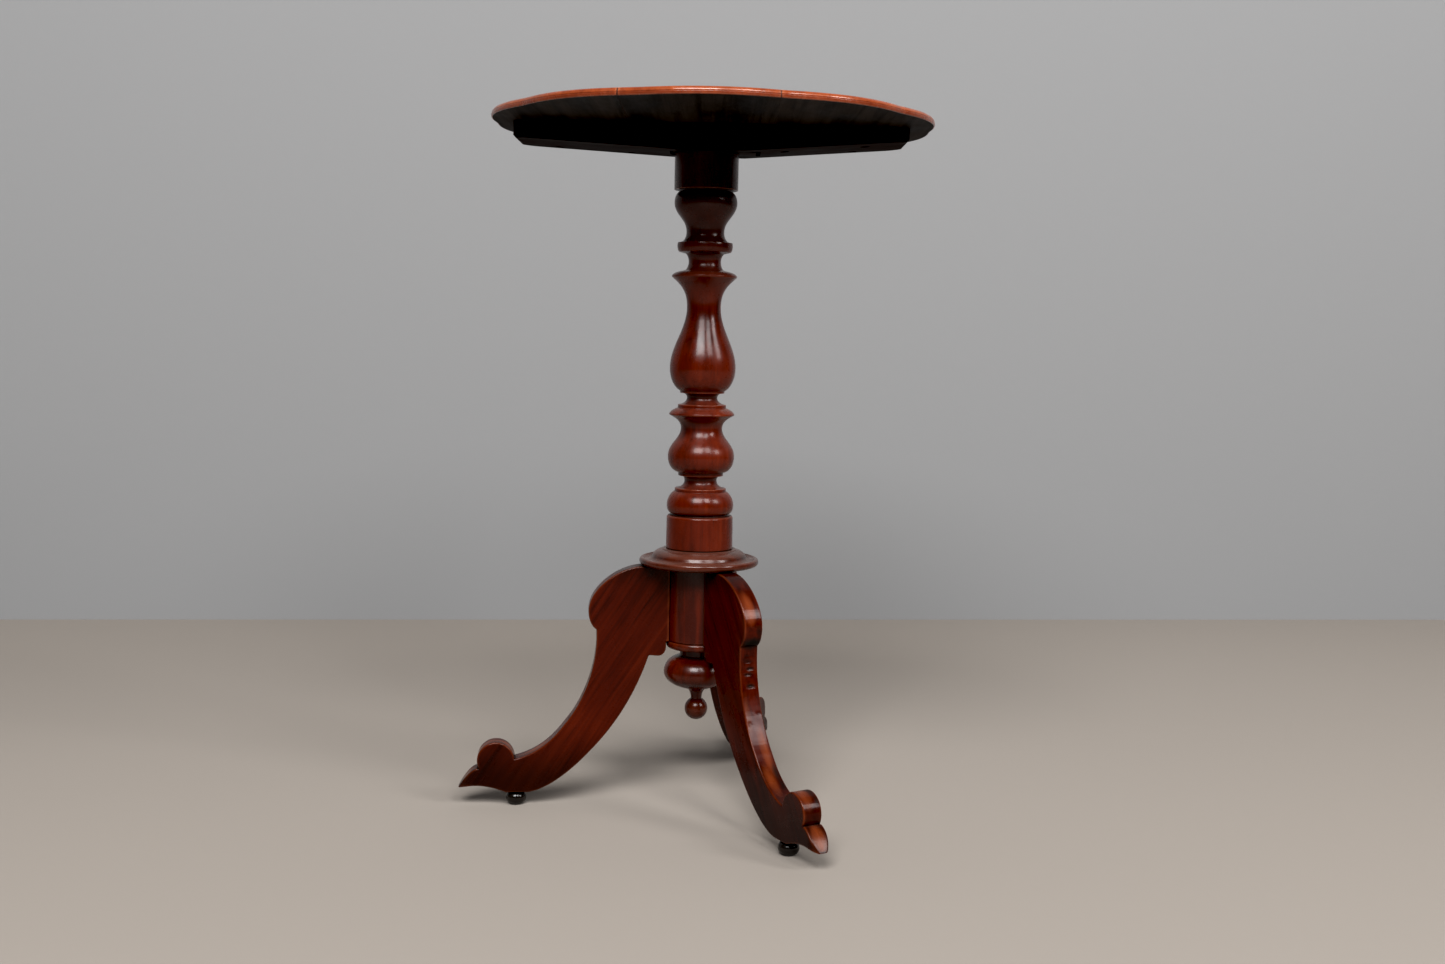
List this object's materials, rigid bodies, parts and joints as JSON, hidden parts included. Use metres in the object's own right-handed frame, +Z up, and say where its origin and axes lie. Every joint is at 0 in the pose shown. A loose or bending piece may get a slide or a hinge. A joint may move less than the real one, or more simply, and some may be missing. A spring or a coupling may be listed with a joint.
{
  "type": "tilt top table",
  "caption": "Small round tilt-top pedestal table: lobed top on a tapered bearer, turned pillar, flanged collar, scroll-footed legs on ball feet, and a drop finial.",
  "frame": {"origin": "floor level, at the middle of the footprint box; the pillar axis stands 10.5 mm towards +X and 6.5 mm towards -Y from it", "axes": "+Z up the pillar; +X towards the side that the tilted top faces; the left leg points to -X, turned 6 degrees towards the front; -Y is the front"},
  "size_m": [0.4748, 0.4638, 0.711],
  "materials": {
    "polished_mahogany": "French-polished dark red mahogany, worn on the edges",
    "top_mahogany": "polished orange-red mahogany top and moulded edge, dark unpolished underside",
    "bearer_wood": "dark stained plank, satin",
    "block_wood": "unpolished hardwood",
    "ebonised_wood": "black polished balls",
    "catch_brass": "dull aged brass",
    "iron": "dark oxidised iron screws and rod"
  },
  "bodies": {
    "base": {"pillar": "polished_mahogany", "tenon_wedge": "block_wood", "pivot_block": "block_wood", "pivot_rod": "iron", "collar": "polished_mahogany", "leg_hub": "polished_mahogany", "drop_finial": "polished_mahogany", "leg_left": "polished_mahogany", "leg_front": "polished_mahogany", "leg_back": "polished_mahogany", "foot_left": "ebonised_wood", "foot_front": "ebonised_wood", "foot_back": "ebonised_wood", "dowel_left_lower": "block_wood", "dowel_left_upper": "block_wood", "dowel_front_lower": "block_wood", "dowel_front_upper": "block_wood", "dowel_back_lower": "block_wood", "dowel_back_upper": "block_wood", "catch_keeper": "catch_brass", "keeper_screw_1": "catch_brass", "keeper_screw_2": "catch_brass"},
    "top": {"top_board_left": "top_mahogany", "top_board_middle": "top_mahogany", "top_board_right": "top_mahogany", "bearer": "bearer_wood", "bearer_screw_1": "iron", "bearer_screw_2": "iron", "bearer_screw_3": "iron", "bearer_screw_4": "iron", "bearer_screw_5": "iron", "pivot_plug_front": "bearer_wood", "pivot_plug_back": "bearer_wood", "catch_case": "catch_brass", "catch_screw_1": "catch_brass", "catch_screw_2": "catch_brass"},
    "catch": {"catch_bolt": "catch_brass", "catch_knob": "catch_brass"}
  },
  "joints": [
    {"name": "top_tilt", "type": "hinge", "parent": "base", "child": "top", "pos_m": [0.053, -0.0065, 0.6851], "axis": [0, 1, 0], "range_deg": [0, 90]},
    {"name": "catch_slide", "type": "slide", "parent": "top", "child": "catch", "axis": [1, 0, 0], "range_m": [0, 0.008]}
  ]
}
